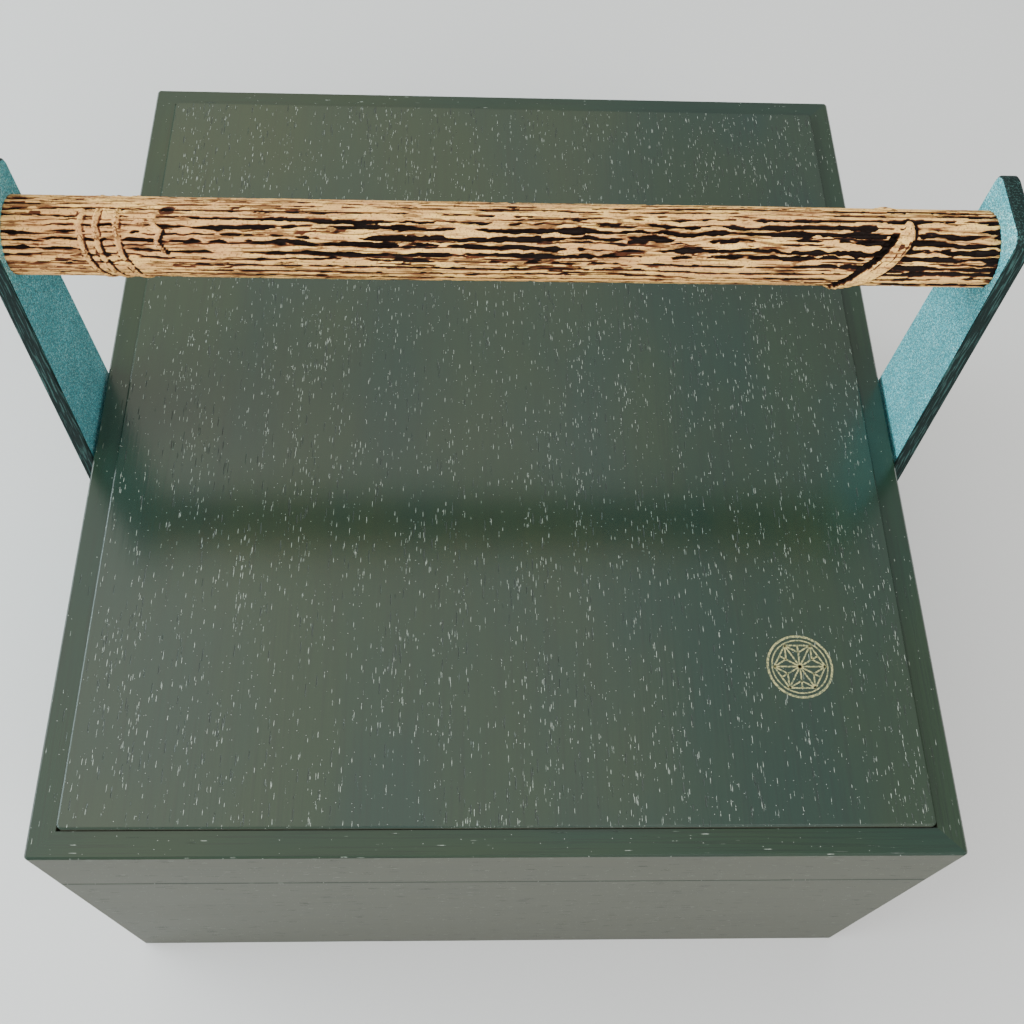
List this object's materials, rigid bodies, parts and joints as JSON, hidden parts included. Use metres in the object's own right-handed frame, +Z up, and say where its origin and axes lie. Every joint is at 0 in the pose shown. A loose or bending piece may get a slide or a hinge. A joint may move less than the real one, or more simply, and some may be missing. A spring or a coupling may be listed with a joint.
{
  "type": "lidded carrying box for tea utensils",
  "caption": "Rectangular lacquered box with a flush lift-off lid, a shallow inner tray and a fixed carrying handle: tapered side plates joined by a ridged bamboo bar.",
  "frame": {"origin": "centre of the box's resting edge, on the surface that it stands on", "axes": "+Z up, -Y towards the front, +X to the right along the handle bar"},
  "size_m": [0.3164, 0.336, 0.281],
  "materials": {
    "case_lacquer": "gloss dark green-black lacquer over fine grain",
    "lid_panel_lacquer": "satin-gloss grey-green lacquer over open-pored wood",
    "lid_frame_lacquer": "satin-gloss grey-green lacquer",
    "inner_lacquer": "satin black-brown lacquer",
    "tray_wood": "oiled light wood",
    "plate_lacquer": "teal lacquer with fine metal flake on the broad faces, dark on the edges",
    "packing_wood": "dark matt wood",
    "peg_wood": "smoked bamboo pegs and hardwood dowels",
    "bamboo": "natural ridged bamboo, dark in the valleys"
  },
  "bodies": {
    "case": {"case_front": "case_lacquer", "case_back": "case_lacquer", "case_left": "case_lacquer", "case_right": "case_lacquer", "case_bottom": "inner_lacquer", "collar_front": "inner_lacquer", "collar_back": "inner_lacquer", "collar_left": "inner_lacquer", "collar_right": "inner_lacquer", "tray_ledge_left": "inner_lacquer", "tray_ledge_right": "inner_lacquer", "handle_plate_left": "plate_lacquer", "handle_plate_right": "plate_lacquer", "handle_packing_left": "packing_wood", "handle_packing_right": "packing_wood", "handle_pegs_left": "peg_wood", "handle_pegs_right": "peg_wood", "handle_dowel_left": "peg_wood", "handle_dowel_right": "peg_wood", "handle_bar": "bamboo"},
    "lid": {"lid_panel": "lid_panel_lacquer", "lid_front": "lid_frame_lacquer", "lid_back": "lid_frame_lacquer", "lid_left": "lid_frame_lacquer", "lid_right": "lid_frame_lacquer"},
    "tray": {"tray_front": "tray_wood", "tray_back": "tray_wood", "tray_left": "tray_wood", "tray_right": "tray_wood", "tray_bottom": "tray_wood"}
  },
  "joints": [
    {"name": "lid_lift", "type": "slide", "parent": "case", "child": "lid", "axis": [0, 0, 1], "range_m": [0, 0.08]},
    {"name": "tray_lift", "type": "slide", "parent": "case", "child": "tray", "axis": [0, 0, 1], "range_m": [0, 0.02]}
  ]
}
